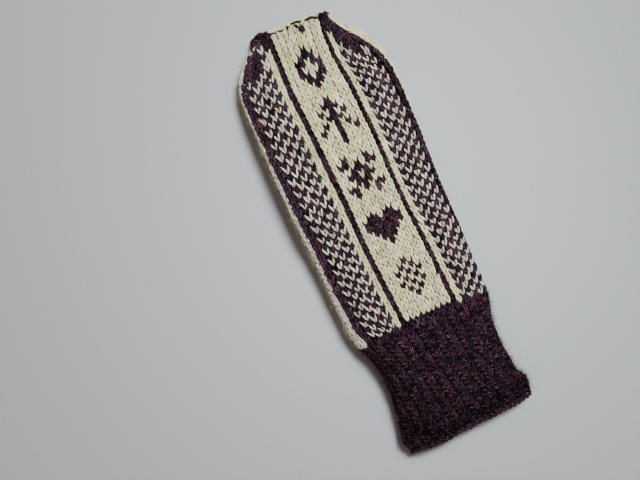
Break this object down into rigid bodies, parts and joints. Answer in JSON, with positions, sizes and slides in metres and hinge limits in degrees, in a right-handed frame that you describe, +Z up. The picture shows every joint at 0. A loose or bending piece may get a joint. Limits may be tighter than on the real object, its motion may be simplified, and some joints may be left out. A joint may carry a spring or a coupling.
{
  "type": "knitted mitten",
  "caption": "Hand-knitted two-colour wool mitten with a ribbed cuff, lying palm down with its thumb folded under the palm.",
  "frame": {"origin": "middle of the outline, on the surface that the mitten lies on", "axes": "+Y towards the fingertips, +X towards the side away from the thumb, +Z up through the back of the hand"},
  "size_m": [0.0965, 0.2756, 0.0246],
  "materials": {
    "cream_wool": "matt hand-knitted wool with short loose fibres",
    "dark_wool": "matt heathered wool in dark plum, wine red and blue grey, with short loose fibres"
  },
  "bodies": {
    "root": {"cuff": "dark_wool", "cast_on_edge": "dark_wool", "hand": "cream_wool", "thumb": "cream_wool", "tip_seam": "cream_wool", "tip_knot_left": "dark_wool", "tip_knot_right": "dark_wool"}
  },
  "joints": []
}
